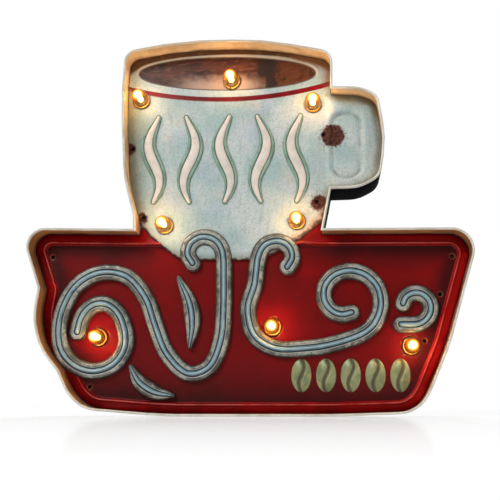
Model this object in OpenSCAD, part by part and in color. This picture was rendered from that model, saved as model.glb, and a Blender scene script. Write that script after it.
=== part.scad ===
// Light-up tin wall sign: a coffee mug standing on a banner, in a deep rim.
// +X is to the viewer's right, +Y points away from the viewer, +Z is up.
// The origin is in the middle of the depth, under the middle of the bottom edge.
// Lengths are in millimetres. "Inset" is a distance in from the outer outline.

/* [Case] */
// Depth of the rim, from its rolled front edge to its back edge
depth = 44; // [40:1:60]
// Thickness of the rim strip
rim_t = 1.2; // [1:0.1:1.6]
// Width of the rolled hem at the front edge
hem_w = 2.2; // [2:0.1:3]
// Width of the flange turned in at the back edge
flange_w = 5; // [4:0.5:8]

/* [Face sheets] */
// Thickness of the pressed sheets
sheet_t = 1; // [0.8:0.1:1.2]
// Distance from the front edge back to the banner's border
face_recess = 20; // [19:1:22]
// Width of the banner's raised border
border_w = 9.5; // [7:0.5:12]
// Step from the border down to the banner's field
field_drop = 1.6; // [1:0.1:2]
// Radius of the nail holes
nail_r = 1.7; // [1:0.1:2]

/* [Relief] */
// Width of the scrollwork band
scroll_w = 15; // [12:0.5:15.5]
// Height of the scrollwork above the mug sheet
scroll_h = 3; // [2:0.5:4]
// Width of the tube bead that runs along the scrollwork
tube_w = 5; // [4:0.5:6]
// Width of each steam ribbon on the mug
ribbon_w = 16; // [10:0.5:16]
// Height of the steam ribbons above the mug sheet
ribbon_h = 1.6; // [1:0.1:2]
// Height of the bean badges above the field
badge_h = 1.2; // [0.8:0.1:2]

/* [Lamps] */
// Outer radius of a bulb
globe_r = 7; // [6:0.25:7.5]
// How far a bulb stands out from its sheet
globe_out = 17.5; // [15:0.5:17.5]
// Outer radius of the brass collar
collar_r = 8.2; // [8:0.1:9]

/* [Battery box] */
// Length of the box, along X
box_l = 72; // [70:1:76]
// Height of the box, along Z
box_h = 36; // [36:1:40]
// Depth of the box, along Y
box_d = 19.4; // [19.4:0.2:20]
// Wall of the box
box_t = 1.5; // [1.2:0.1:1.8]

/* [Hangers] */
// Distance between the two hanging holes
hang_gap = 110; // [80:5:120]
// Radius of a hanging hole
hang_r = 3.5; // [2.5:0.5:4]

/* [Hidden] */
$fn = 48;
eps = 0.01;
fit = 0.3;          // clearance between a sheet and the rim
arc_step = 10;      // degrees of one straight step along a rounded corner
front = -depth / 2;
back = depth / 2;
border_y = front + face_recess;            // front of the banner's border
field_y = border_y + field_drop;           // front of the banner's field
mug_y = border_y - sheet_t;                // front of the mug sheet
edge = rim_t + fit;                        // inset of the sheets' edges

LAMPS = 8;
function numbered(name) = [for (i = [1:LAMPS]) str(name, i)];

// ---- Outline: corners as [x, z, radius], counter-clockwise as seen from the front ----
// A radius of 0 is a sharp fold, where two strips of the rim meet.

banner_corners = [
    [-103, 166.5, 0],                                             // mug's left foot
    [-206.6, 168.6, 17], [-187.6, 114, 3], [-191.6, 88, 60], [-185, 60, 60],
    [-168.2, 40, 3], [-158.8, 20, 40], [-144, 5.6, 30],           // left end
    [-75, 0, 300], [75, 0, 300],                                  // bottom
    [149, 2.4, 30], [160, 22.5, 60], [176.5, 61.5, 120], [206.4, 165, 20],   // right end
    [67.5, 165.5, 0]];                                            // mug's right foot
mug_corners = [
    [74.3, 201, 0], [100, 201.6, 35], [118.5, 212, 16], [123.9, 248, 100],
    [116.8, 288.5, 14], [100, 295, 30], [76, 296.2, 0],           // handle
    [76.3, 329, 13], [12, 342, 260], [-62, 341.5, 200],           // top
    [-114.6, 332.5, 13], [-116.6, 280, 300], [-112.5, 212, 120], [-103.5, 180, 20]];
outline = concat(banner_corners, mug_corners);
right_foot = len(banner_corners) - 1;
handle_low = right_foot + 1;
handle_high = handle_low + 6;
left_foot = len(outline);

// ---- Outline functions ----

function xz(c) = [c[0], c[1]];
function unit(v) = v / norm(v);
function left_of(u) = [-u[1], u[0]];
function wrap(list, i) = list[(i + len(list)) % len(list)];
function mix(a, b, f) = a * (1 - f) + b * f;
function reversed(list) = [for (i = [len(list) - 1:-1:0]) list[i]];
function joined(lists) = [for (l = lists) for (p = l) p];

// Turn at b on the way from a to c, in degrees, positive to the left
function turn(a, b, c) =
    let (u = b - a, v = c - b) atan2(u[0] * v[1] - u[1] * v[0], u * v);

// A closed loop of corners moved in by t, each corner along its mitre
function inset(loop, t) = [
    for (i = [0:len(loop) - 1])
    let (a = xz(wrap(loop, i - 1)), b = xz(loop[i]), c = xz(wrap(loop, i + 1)), r = loop[i][2],
         n1 = left_of(unit(b - a)), n2 = left_of(unit(c - b)), p = b + (n1 + n2) / (1 + n1 * n2) * t)
    [p[0], p[1], r == 0 ? 0 : max(0, r - sign(turn(a, b, c)) * t)]];

// The points of one corner of a loop, rounded to the corner's radius
function corner_points(loop, i) =
    let (a = xz(wrap(loop, i - 1)), b = xz(wrap(loop, i)), c = xz(wrap(loop, i + 1)),
         r = wrap(loop, i)[2], w = turn(a, b, c), s = sign(w), u = unit(b - a),
         centre = b - u * r * tan(abs(w) / 2) + left_of(u) * s * r,
         steps = max(1, ceil(abs(w) / arc_step)))
    r == 0 ? [b] : [for (k = [0:steps]) let (f = w * k / steps)
        centre - s * r * (left_of(u) * cos(f) - u * sin(f))];

function stretch_points(loop, i0, i1) = joined([for (i = [i0:i1]) corner_points(loop, i)]);
function loop_points(loop) = stretch_points(loop, 0, len(loop) - 1);

// Extrudes a shape drawn in X and Z between two places along Y
module slab(y0, y1) translate([0, y1, 0]) rotate([90, 0, 0]) linear_extrude(y1 - y0) children();

// Puts a piece whose own +Z is the way to the viewer at [x, z] and y
module facing(p, y) translate([p[0], y, p[1]]) rotate([90, 0, 0]) children();

// A frame on the straight wall after corner i, at fraction f of it: own +X along the wall,
// own +Z into the case, own +Y away from the viewer
module on_wall(i, f, t) {
    loop = inset(outline, t);
    a = xz(wrap(loop, i));
    b = xz(wrap(loop, i + 1));
    p = mix(a, b, f);
    d = b - a;
    translate([p[0], 0, p[1]]) rotate([0, -atan2(d[1], d[0]), 0]) children();
}

// ---- Rim ----

// Rivets and brackets sit on these walls: [corner before the wall, fraction along it, riveted]
bracket_places = [
    [0, 0.55, true], [5, 0.38, true], [8, 0.2, false], [8, 0.8, false], [11, 0.5, true],
    [12, 0.45, true], [13, 0.35, true], [13, 0.8, true], [right_foot, 0.6, true],
    [handle_low + 3, 0.61, true], [handle_high + 2, 0.5, false],
    [handle_high + 4, 0.4, true], [handle_high + 5, 0.7, true]];
rivet_y = 6;
rivet_r = 1.5;

module rivet_shanks(r) {
    for (b = bracket_places) if (b[2])
        on_wall(b[0], b[1], 0) translate([0, rivet_y, -1]) cylinder(r = r, h = 6);
}

hem_d = 3;                          // depth of the rolled hem
module rim_band(i0, i1, t, y0, y1) {
    slab(y0, y1) polygon(concat(stretch_points(outline, i0, i1),
                                reversed(stretch_points(inset(outline, t), i0, i1))));
}

module rim_strip(i0, i1) {
    difference() {
        union() {
            rim_band(i0, i1, hem_w, front, front + hem_d);
            rim_band(i0, i1, rim_t, front + hem_d, back - sheet_t);
            rim_band(i0, i1, flange_w, back - sheet_t, back);
        }
        rivet_shanks(rivet_r + 0.05);
    }
}

module rim_banner() color([0.90, 0.88, 0.82]) rim_strip(0, right_foot);
module rim_waist() color([0.88, 0.86, 0.80]) rim_strip(right_foot, handle_low);
module rim_handle() color([0.92, 0.90, 0.84]) rim_strip(handle_low, handle_high);
module rim_mug() color([0.90, 0.88, 0.82]) rim_strip(handle_high, left_foot);

// ---- Face sheets ----

// Lamps: [x, z, number of the sheet: 0 mug, 1 mug over banner, 2 banner]
lamps = [[-17.5, 309.5, 0], [-102, 292, 0], [58, 286, 0], [-78, 173, 1], [43, 176, 1],
         [-137, 70.5, 2], [21, 79.5, 2], [145, 62, 2]];
function lamp_front(i) = lamps[i][2] == 2 ? field_y : mug_y;
function lamp_back(i) = [mug_y, border_y, field_y][lamps[i][2]] + sheet_t;

nail_holes = [
    [-182, 145], [-177, 121], [-144, 26], [183, 143], [171.5, 108.5], [157, 66.5],
    [-109, 246], [-98, 181], [67.5, 257], [61.5, 194]];
neck_r = 5.3;
hole_r = neck_r + 0.3;

module sheet_holes() {
    for (l = lamps) facing(l, back) cylinder(r = hole_r, h = depth);
    for (n = nail_holes) facing(n, back) cylinder(r = nail_r, h = depth, $fn = 24);
}

// The banner's top edge runs on under the mug, with a tongue that laps behind the mug sheet
tongue = [[66, 183], [-98.5, 183]];
border_corners = inset(banner_corners, edge);
field_corners = inset(border_corners, border_w);
field_wall = inset(border_corners, border_w - sheet_t);

module banner_panel() color([0.62, 0.07, 0.08]) difference() {
    union() {
        slab(border_y, border_y + sheet_t) difference() {
            polygon(concat(stretch_points(inset(outline, edge), 0, right_foot), tongue));
            polygon(loop_points(field_corners));
        }
        slab(border_y, field_y + sheet_t) difference() {
            polygon(loop_points(field_wall));
            polygon(loop_points(field_corners));
        }
        slab(field_y, field_y + sheet_t) polygon(loop_points(field_wall));
    }
    sheet_holes();
}

// The mug sheet: the rim's inner outline above, and the mug's rounded foot below
edge_loop = inset(outline, edge);
mug_loop = concat(
    [concat(mix(xz(wrap(edge_loop, left_foot - 1)), xz(edge_loop[0]), 0.35), [8])],
    [[-91, 162, 60], [-64, 140.5, 22], [12, 140.5, 40], [48, 160, 60]],
    [concat(mix(xz(edge_loop[right_foot]), xz(edge_loop[handle_low]), 0.35), [8])],
    [for (i = [handle_low:left_foot - 1]) edge_loop[i]]);

module mug_shape() polygon(loop_points(mug_loop));

module mug_panel() color([0.80, 0.83, 0.82]) difference() {
    slab(mug_y, mug_y + sheet_t) mug_shape();
    sheet_holes();
}

// ---- Scrollwork and other relief ----

// A smooth curve through points, with a given number of steps between each two
function through(points, steps) = [
    for (i = [0:len(points) - 2]) for (k = [0:steps - (i == len(points) - 2 ? 0 : 1)])
    let (f = k / steps, p1 = points[i], p2 = points[i + 1],
         p0 = i == 0 ? p1 * 2 - p2 : points[i - 1],
         p3 = i == len(points) - 2 ? p2 * 2 - p1 : points[i + 2])
    (p1 * 2 + (p2 - p0) * f + (p0 * 2 - p1 * 5 + p2 * 4 - p3) * f * f
        + (p1 * 3 - p0 - p2 * 3 + p3) * f * f * f) / 2];

// A spiral about c whose radius grows or shrinks evenly in proportion from r0 to r1 between
// two angles; its upper half is stretched upwards
function volute(c, r0, r1, a0, a1, stretch, steps) = [
    for (k = [0:steps]) let (a = mix(a0, a1, k / steps), r = r0 * pow(r1 / r0, k / steps))
    c + [r * cos(a), r * sin(a) * (sin(a) > 0 ? stretch : 1)]];

// Outline of a band along a line, with round ends; its width is one number, or one a point
function line_dir(line, i) = unit(line[min(i + 1, len(line) - 1)] - line[max(i - 1, 0)]);
function half_width(w, i) = (is_list(w) ? w[i] : w) / 2;
function end_cap(p, d, r) = [for (a = [-75:15:75]) p + (d * cos(a) + left_of(d) * sin(a)) * r];
function band(line, w) = let (n = len(line) - 1) concat(
    [for (i = [0:n]) line[i] - left_of(line_dir(line, i)) * half_width(w, i)],
    end_cap(line[n], line_dir(line, n), half_width(w, n)),
    [for (i = [n:-1:0]) line[i] + left_of(line_dir(line, i)) * half_width(w, i)],
    end_cap(line[0], -line_dir(line, 0), half_width(w, 0)));

left_line = through(concat(
    volute([-137, 70.5], 19, 42, 530, 90, 1.4, 13),
    [[-112, 126], [-94, 106], [-85, 82], [-74, 56], [-55, 38], [-35, 44], [-25, 68], [-23, 96],
     [-23, 122]],
    volute([-43, 146], 19, 12, 0, 225, 1, 5)), 5);
right_line = through(concat(
    volute([26, 142], 12, 18, -45, 180, 1, 5),
    [[5, 118], [-1, 96], [5, 72], [24, 60], [50, 60], [76, 64]],
    volute([87, 106], 36, 15, 300, 650, 0.95, 10)), 5);
tail_line = through(concat([[136, 81]], volute([148.5, 97], 16, 11, -90, 165, 1, 9)), 4);
// Two leaves, in the gaps of the left scroll
leaf_w = 15;
leaf_lines = [through([[-68, 18], [-84, 21], [-98, 30], [-106, 44]], 6),
              through([[-53, 62], [-51, 82], [-54, 102], [-64, 124]], 6)];
function leaf_widths(w) = [for (k = [0:18]) w * (0.3 + 0.7 * sin(10 * k))];

// Raised band down to the field, or to the mug sheet where it crosses the mug, with its bead
module scroll(line, w, bead) {
    top = mug_y - scroll_h;
    slab(top, mug_y) polygon(band(line, w));
    difference() {
        slab(mug_y - eps, border_y) polygon(band(line, w));
        slab(mug_y - 1, border_y + 1) mug_shape();
    }
    difference() {
        intersection() {
            slab(border_y - eps, field_y) polygon(band(line, w));
            slab(border_y - 1, field_y + 1) polygon(loop_points(field_corners));
        }
        slab(mug_y - 1, field_y + 1) mug_shape();
    }
    slab(top - tube_w / 3, top) polygon(band(line, bead));
}

scroll_colour = [0.62, 0.63, 0.60];
module scroll_left() color(scroll_colour) scroll(left_line, scroll_w, tube_w);
module scroll_right() color(scroll_colour) scroll(right_line, scroll_w, tube_w);
module scroll_tail() color(scroll_colour) scroll(tail_line, scroll_w, tube_w);
module scroll_leaves() color(scroll_colour) for (line = leaf_lines)
    scroll(line, leaf_widths(leaf_w), leaf_widths(tube_w));

// Five wavy ribbons of steam
ribbon_x = [-89, -56, -23, 10, 43];
ribbon_z = [195, 275];
ribbon_steps = 28;
ribbon_bead_h = 0.8;
function ribbon_line(i) = [
    for (k = [0:ribbon_steps]) let (f = k / ribbon_steps, swing = (i % 2 == 0 ? 5.5 : -5.5))
    [ribbon_x[i] + swing * sin(400 * f), mix(ribbon_z[0], ribbon_z[1], f)]];
// A ribbon is narrow at both ends
function ribbon_widths(w) = [
    for (k = [0:ribbon_steps]) w * (0.35 + 0.65 * sin(180 * k / ribbon_steps))];

module steam_ribbons() color([0.62, 0.72, 0.66]) for (i = [0:4]) {
    slab(mug_y - ribbon_h, mug_y) polygon(band(ribbon_line(i), ribbon_widths(ribbon_w)));
    slab(mug_y - ribbon_h - ribbon_bead_h, mug_y - ribbon_h)
        polygon(band(ribbon_line(i), ribbon_widths(ribbon_w / 2)));
}

// Five coffee beans in a row, each an oval with a curved slit
badge_x = [47, 69, 91, 113, 135];
badge_z = 36;
badge_rx = 9;
badge_rz = 15;
slit_w = 2;
function oval(c, rx, rz) = [for (a = [0:10:350]) c + [rx * cos(a), rz * sin(a)]];
function slit_line(x) = [for (k = [-6:6]) [x + 2.5 * sin(k * 28), badge_z + badge_rz * k / 6.5]];

module bean_badges() color([0.56, 0.55, 0.38]) for (x = badge_x)
    slab(field_y - badge_h, field_y) difference() {
        polygon(oval([x, badge_z], badge_rx, badge_rz));
        polygon(band(slit_line(x), slit_w));
    }

// ---- Brackets, rivets and hangers ----

bracket_w = 14;
bracket_leg = 8.5;
bracket_reach = 5;                  // length of the wall leg behind its rivet
function on_mug(i) = i >= right_foot;

module panel_brackets() color([0.70, 0.69, 0.66]) difference() {
    for (b = bracket_places) {
        y0 = (on_mug(b[0]) ? mug_y : border_y) + sheet_t;
        on_wall(b[0], b[1], rim_t) {
            translate([-bracket_w / 2, y0, 0]) cube([bracket_w, rivet_y - y0 + bracket_reach, sheet_t]);
            translate([-bracket_w / 2, y0, 0]) cube([bracket_w, sheet_t, bracket_leg]);
        }
    }
    rivet_shanks(rivet_r + 0.05);
}

rivet_head_r = 2.6;
rivet_head_h = 0.8;
module rivets() color([0.55, 0.53, 0.48]) for (b = bracket_places) if (b[2])
    on_wall(b[0], b[1], 0) translate([0, rivet_y, 0]) {
        translate([0, 0, -rivet_head_h]) cylinder(r = rivet_head_r, h = rivet_head_h);
        cylinder(r = rivet_r, h = rim_t + sheet_t);
        translate([0, 0, rim_t + sheet_t]) cylinder(r = rivet_head_r, h = rivet_head_h);
    }

hang_z = 322;
hang_x = -20;
hang_t = 1.5;
hanger_w = 22;
hanger_l = 40;                      // enough to reach the rim, which trims it
hanger_foot = 9;                    // from the hole down to the bottom edge
module hanger(x) color([0.70, 0.69, 0.66]) difference() {
    intersection() {
        slab(back - sheet_t - hang_t, back - sheet_t)
            translate([x - hanger_w / 2, hang_z - hanger_foot]) square([hanger_w, hanger_l]);
        slab(front, back + 1) polygon(loop_points(inset(outline, rim_t)));
    }
    facing([x, hang_z], back + 1) cylinder(r = hang_r, h = 10);
}
module hanger_left() hanger(hang_x - hang_gap / 2);
module hanger_right() hanger(hang_x + hang_gap / 2);

// ---- Lamps ----

collar_h = 2;
neck_out = 2.5;

module bulb_globe(i) color([1, 0.75, 0.35, 0.6]) facing(lamps[i], lamp_front(i) - collar_h)
    difference() {
        straight = globe_out - collar_h - globe_r;
        union() {
            cylinder(r = globe_r, h = straight);
            translate([0, 0, straight]) sphere(globe_r);
        }
        translate([0, 0, -globe_r]) cylinder(r = globe_r + 1, h = globe_r);
        translate([0, 0, -1]) cylinder(r = globe_r - 0.7, h = straight + 1);
        translate([0, 0, straight]) sphere(globe_r - 0.7);
    }

module bulb_collar(i) color([0.80, 0.62, 0.25]) facing(lamps[i], lamp_front(i)) difference() {
    cylinder(r = collar_r, h = collar_h);
    translate([0, 0, -1]) cylinder(r = neck_r + 0.1, h = collar_h + 2);
}

holder_l = 12;
holder_r = 6.5;
flange_r = 8.5;
flange_h = 1.5;
module lamp_holder(i) color([0.12, 0.12, 0.12]) facing(lamps[i], lamp_back(i)) {
    translate([0, 0, -flange_h]) cylinder(r = flange_r, h = flange_h);
    translate([0, 0, -eps]) cylinder(r = neck_r, h = lamp_back(i) - lamp_front(i) + neck_out);
    translate([0, 0, -holder_l]) cylinder(r = holder_r, h = holder_l - flange_h + eps);
}

led_r = 2.4;
led_l = 5.5;
module led(i) color([1, 0.95, 0.75]) facing(lamps[i], lamp_front(i) - neck_out) {
    cylinder(r = led_r, h = led_l);
    translate([0, 0, led_l]) sphere(led_r - 0.02);
}

// ---- Battery box ----

box_x = -104;                     // left end of the box
box_z = 60;                       // bottom of the box
box_y = field_y + sheet_t;        // front of the box, against the banner's back
box_back = box_y + box_d;
switch_room = 10;                 // length of the switch's chamber, at the right end
cell_r = 7.25;
cell_l = 50.5;
door_t = 1.3;
door_travel = 62;
door_y = box_back - door_t - 0.9;                   // front face of the door
chamber_x = [box_x + box_t, box_x + box_l - switch_room - box_t];
plate_t = 0.4;
// Each cell's nub touches a contact plate; a spring fills the gap at its flat end
function cell_x(i) = i == 0 ? chamber_x[0] + plate_t : chamber_x[1] - plate_t - cell_l;
function cell_z(i) = box_z + box_h / 2 + (i == 0 ? 8.1 : -8.1);
cell_y = box_y + box_t + cell_r + 0.4;

module battery_case() color([0.10, 0.10, 0.11]) difference() {
    translate([box_x, box_y, box_z]) cube([box_l, box_d, box_h]);
    // battery chamber, open at the back
    translate([chamber_x[0], box_y + box_t, box_z + box_t])
        cube([chamber_x[1] - chamber_x[0], box_d, box_h - 2 * box_t]);
    // groove that the door slides in, open at the left end
    translate([box_x - 1, door_y - 0.3, box_z + 0.7])
        cube([chamber_x[1] - box_x + 1, door_t + 0.6, box_h - 1.4]);
    translate([box_x - 1, door_y - 0.3, box_z + box_t])
        cube([box_t + 2, box_d, box_h - 2 * box_t]);
    // switch chamber, closed at the back, with the slider's slot
    translate([chamber_x[1] + box_t, box_y - 1, box_z + 8])
        cube([switch_room - box_t, box_d - box_t + 1, box_h - 16]);
    translate([slider_x - 1.4, box_back - 3, slider_z - 4.2]) cube([2.8, 6, 8.4]);
    // openings for the leads
    for (z = [cell_z(0), cell_z(1)]) translate([chamber_x[1] - 1, box_y + 4, z])
        rotate([0, 90, 0]) cylinder(r = 1.3, h = 4);
    for (k = [-1:1]) translate([box_x + box_l - box_t - 1, box_y + 4, slider_z + k * exit_step])
        rotate([0, 90, 0]) cylinder(r = wire_r + 0.5, h = box_t + 2);
}

module battery_door() color([0.14, 0.14, 0.15]) {
    length = chamber_x[1] - box_x - 0.3;
    translate([box_x, door_y, box_z + 1]) cube([length, door_t, box_h - 2]);
    // grip ridges
    for (k = [0:4]) translate([box_x + 5 + 2.4 * k, door_y + door_t - eps, box_z + 10])
        cube([1.2, 0.6, box_h - 20]);
}

cell_nub = 1;
module battery(i) color([0.75, 0.62, 0.20]) translate([cell_x(i), cell_y, cell_z(i)])
    rotate([0, 90, 0]) {
        translate([0, 0, i == 0 ? cell_nub : 0]) cylinder(r = cell_r, h = cell_l - cell_nub);
        translate([0, 0, i == 0 ? 0 : cell_l - cell_nub - eps])
            cylinder(r = 2.7, h = cell_nub + eps);
    }

// Tube of radius r swept along points, with a given number of sides; the line never runs
// along the direction aside
module swept(line, r, sides, aside) {
    n = len(line);
    rings = [for (i = [0:n - 1])
        let (d = line_dir(line, i), u = unit(cross(d, aside)), v = cross(d, u))
        for (k = [0:sides - 1]) line[i] + (u * cos(360 * k / sides) + v * sin(360 * k / sides)) * r];
    walls = [for (i = [0:n - 2]) for (k = [0:sides - 1])
        let (a = i * sides + k, b = i * sides + (k + 1) % sides) [a, b, b + sides, a + sides]];
    polyhedron(rings, concat(walls, [[for (k = [sides - 1:-1:0]) k]],
                             [[for (k = [0:sides - 1]) (n - 1) * sides + k]]), convexity = 10);
}

// A conical spring between a contact plate at x0 and a cell's flat end at x1
spring_r = 0.35;
function spring_line(z, x0, x1) = [
    for (k = [0:36]) let (r = mix(5, 2.8, k / 36), lift = sign(x1 - x0) * (spring_r + 0.05))
    [mix(x0 + lift, x1 - lift, k / 36), cell_y + r * cos(30 * k), z + r * sin(30 * k)]];

module contact_springs() color([0.72, 0.72, 0.70]) {
    swept(spring_line(cell_z(0), chamber_x[1] - plate_t, cell_x(0) + cell_l),
          spring_r, 6, [1, 0, 0]);
    swept(spring_line(cell_z(1), chamber_x[0] + plate_t, cell_x(1)), spring_r, 6, [1, 0, 0]);
}

module contact_plates() color([0.75, 0.74, 0.70]) {
    for (i = [0:1]) translate([chamber_x[1] - plate_t, cell_y - 6, cell_z(i) - 6])
        cube([plate_t, 12, 12]);
    translate([chamber_x[0], cell_y - 6, cell_z(1) - 6])
        cube([plate_t, 12, cell_z(0) - cell_z(1) + 12]);
}

slider_x = box_x + box_l - (switch_room + box_t) / 2;
slider_z = box_z + box_h / 2;
slider_travel = 4;
switch_y = [box_back - box_t - 6, box_back - box_t];

module switch_body() color([0.30, 0.30, 0.31]) difference() {
    translate([slider_x - 3.2, switch_y[0], slider_z - 8])
        cube([6.4, switch_y[1] - switch_y[0], 16]);
    translate([slider_x - 1.3, switch_y[1] - 2.4, slider_z - 4.4]) cube([2.6, 4, 8.8]);
}

module switch_slider() color([0.85, 0.85, 0.83])
    translate([slider_x - 1, switch_y[1] - 2, slider_z - slider_travel / 2 - 1.8])
        cube([2, box_back + 1.2 - switch_y[1] + 2, 3.6]);

// ---- Wiring ----

wire_r = 1;
wire_y = 9;
low_y = 3.2;
function lamp_point(i) = [lamps[i][0], wire_y, lamps[i][1]];
exit_step = 5;
// A wire's way out of the switch's chamber, through exit hole k
function way_out(k) = let (z = slider_z + k * exit_step) [
    [slider_x, switch_y[0] - 0.05, slider_z + k * 3], [slider_x, box_y + 8, z - k * 0.6],
    [slider_x + 1.5, box_y + 4.6, z], [box_x + box_l - box_t, box_y + 4, z],
    [box_x + box_l + 2, box_y + 4, z]];

// From the box up the left of the mug, over its top and down its right
mug_route = concat(way_out(1), [
    [-22, 5, 88], [-20, low_y, 110], [-34, low_y, 140], [-60, 6, 160], lamp_point(3), [-90, 5, 190],
    [-98, low_y, 220], [-99, low_y, 237], [-100, low_y, 255], [-100, 5, 278], lamp_point(1),
    [-88, 6, 306], [-60, low_y, 311], [-36, 5, 309], lamp_point(0), [0, 6, 306], [22, low_y, 299],
    [42, 6, 292], lamp_point(2), [60, 5, 270], [58, low_y, 250], [56, low_y, 232], [54, low_y, 215],
    [48, 5, 192], lamp_point(4)]);
// From the box to the banner's two right lamps, and under the box to its left lamp
right_route = concat(way_out(0), [
    [-14, 4.6, 76], [0, 6, 78], lamp_point(6), [42, 5, 76], [66, low_y, 68], [79, low_y, 66],
    [92, low_y, 64], [122, 5, 62], lamp_point(7)]);
left_route = concat(way_out(-1), [
    [-23, 4, 66], [-27, low_y, 54], [-44, low_y, 47], [-67, low_y, 46], [-84, low_y, 46],
    [-108, low_y, 48], [-124, 5, 57], lamp_point(5)]);

module wire_mug() color([0.75, 0.10, 0.08]) swept(through(mug_route, 4), wire_r, 8, [0.3, 1, 0.2]);
module wire_banner() color([0.12, 0.12, 0.12]) {
    swept(through(right_route, 4), wire_r, 8, [0.3, 1, 0.2]);
    swept(through(left_route, 4), wire_r, 8, [0.3, 1, 0.2]);
}

// Short leads from the contact plates to the switch
function lead_line(i) = let (k = i == 0 ? 1 : -1, x = chamber_x[1] + 0.05) through([
    [x, box_y + 4, cell_z(i)], [x + 3, box_y + 4, cell_z(i) - k * 0.3],
    [x + 4.5, box_y + 6, slider_z + k * 6.5], [slider_x - 1, switch_y[0] - 0.05, slider_z + k * 6]], 3);
module battery_leads() color([0.75, 0.10, 0.08]) for (i = [0:1])
    swept(lead_line(i), 0.6, 6, [0, 0.2, 1]);

// Saddles that hold the wires to the backs of the sheets: [x, z, angle, sheet]
clip_places = [[-99, 237, 92, 0], [56, 232, 83, 0], [-67, 46, 0, 2], [79, 66, -9, 2]];
module cable_clips() color([0.85, 0.85, 0.82]) for (c = clip_places)
    translate([c[0], 0, c[1]]) rotate([0, -c[2], 0]) difference() {
        y0 = (c[3] == 0 ? mug_y : field_y) + sheet_t;
        translate([-3, y0, -4]) cube([6, low_y + 2.2 - y0, 8]);
        translate([-4, low_y, 0]) rotate([0, 90, 0]) cylinder(r = wire_r + 0.4, h = 8);
    }

// ---- The nodes ----

rim_banner();
rim_waist();
rim_handle();
rim_mug();
banner_panel();
mug_panel();
scroll_left();
scroll_leaves();
scroll_right();
scroll_tail();
steam_ribbons();
bean_badges();
panel_brackets();
rivets();
hanger_left();
hanger_right();
battery_case();
battery_door();
battery(0);  // battery_1
battery(1);  // battery_2
contact_springs();
contact_plates();
switch_body();
switch_slider();
wire_mug();
wire_banner();
battery_leads();
cable_clips();
for (i = [0:LAMPS - 1]) {
    bulb_globe(i);
    bulb_collar(i);
    lamp_holder(i);
    led(i);
}
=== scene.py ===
"""Looks for the light-up tin wall sign, a coffee mug on a banner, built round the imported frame.

Lengths are in millimetres, in the frame's axes: X right, Y away from the viewer, Z up. They become
metres only where a mesh is made. Outlines and centre lines come from the frame's own meshes.
"""

import math
from collections import Counter, defaultdict
from functools import reduce

import bmesh
import bpy
import numpy as np
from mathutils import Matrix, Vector
from mathutils.geometry import delaunay_2d_cdt


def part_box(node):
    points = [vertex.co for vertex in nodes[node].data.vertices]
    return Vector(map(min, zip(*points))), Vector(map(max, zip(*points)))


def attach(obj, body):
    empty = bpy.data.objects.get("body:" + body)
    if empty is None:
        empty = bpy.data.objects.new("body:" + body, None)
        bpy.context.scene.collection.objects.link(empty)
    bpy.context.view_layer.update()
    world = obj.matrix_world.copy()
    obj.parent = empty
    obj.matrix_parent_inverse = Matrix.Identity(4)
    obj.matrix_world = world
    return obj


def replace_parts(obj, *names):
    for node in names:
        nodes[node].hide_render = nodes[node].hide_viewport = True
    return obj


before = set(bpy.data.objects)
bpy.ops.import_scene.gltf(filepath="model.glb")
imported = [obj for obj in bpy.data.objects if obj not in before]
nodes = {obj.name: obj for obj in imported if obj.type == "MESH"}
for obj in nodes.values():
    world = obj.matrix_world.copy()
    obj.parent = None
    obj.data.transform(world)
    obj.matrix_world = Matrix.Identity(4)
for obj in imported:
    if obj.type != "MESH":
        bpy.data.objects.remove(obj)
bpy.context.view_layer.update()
MM = 0.001
LAMPS = range(1, 9)


# ---- Reading shapes from the frame ----


def low(node):
    """Lowest corner of a node, in millimetres."""
    return [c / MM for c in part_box(node)[0]]


def high(node):
    """Highest corner of a node, in millimetres."""
    return [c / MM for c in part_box(node)[1]]


def outlines(node, y):
    """The outlines of a node's flat faces at depth y, each a loop of (x, z), longest first."""
    mesh = nodes[node].data
    grain = 1e6  # corners are told apart by the micrometre
    edges = Counter()
    for face in mesh.polygons:
        corners = [mesh.vertices[i].co for i in face.vertices]
        if all(abs(c.y / MM - y) < 0.02 for c in corners) and abs(face.normal.y) > 0.9:
            keys = [(round(c.x * grain), round(c.z * grain)) for c in corners]
            edges.update(zip(keys, keys[1:] + keys[:1]))
    following = defaultdict(list)
    for a, b in edges:
        if (b, a) not in edges:
            following[a].append(b)
    loops, seen = [], set()
    for start in following:
        if start in seen:
            continue
        loop = []
        point = start
        while point not in seen:
            seen.add(point)
            loop.append(point)
            point = following[point][0]
        loops.append(np.array(loop, float) / grain / MM)
    return sorted(loops, key=len, reverse=True)


def area(loop):
    """A loop's area, positive where it runs counter-clockwise."""
    x, z = loop[:, 0], loop[:, 1]
    return 0.5 * float(np.sum(x * np.roll(z, -1) - np.roll(x, -1) * z))


def paired(loop, caps):
    """Splits the outline of a band, with a number of points on each end cap, into its two sides.

    The right split is the one whose pairs of points lie closest together.
    """
    count = (len(loop) - 2 * caps) // 2
    best = None
    for turn in range(len(loop)):
        rolled = np.roll(loop, -turn, axis=0)
        one = rolled[:count]
        other = rolled[count + caps : 2 * count + caps][::-1]
        gap = np.linalg.norm(one - other, axis=1).sum()
        if best is None or gap < best[0]:
            best = (gap, one, other)
    return best[1], best[2]


CAP_POINTS = 11  # points of the round end of a relief band's outline


def centre_line(loop):
    """The middle line of a band and the band's width along it."""
    one, other = paired(loop, CAP_POINTS)
    return (one + other) / 2, np.linalg.norm(one - other, axis=1)


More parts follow.
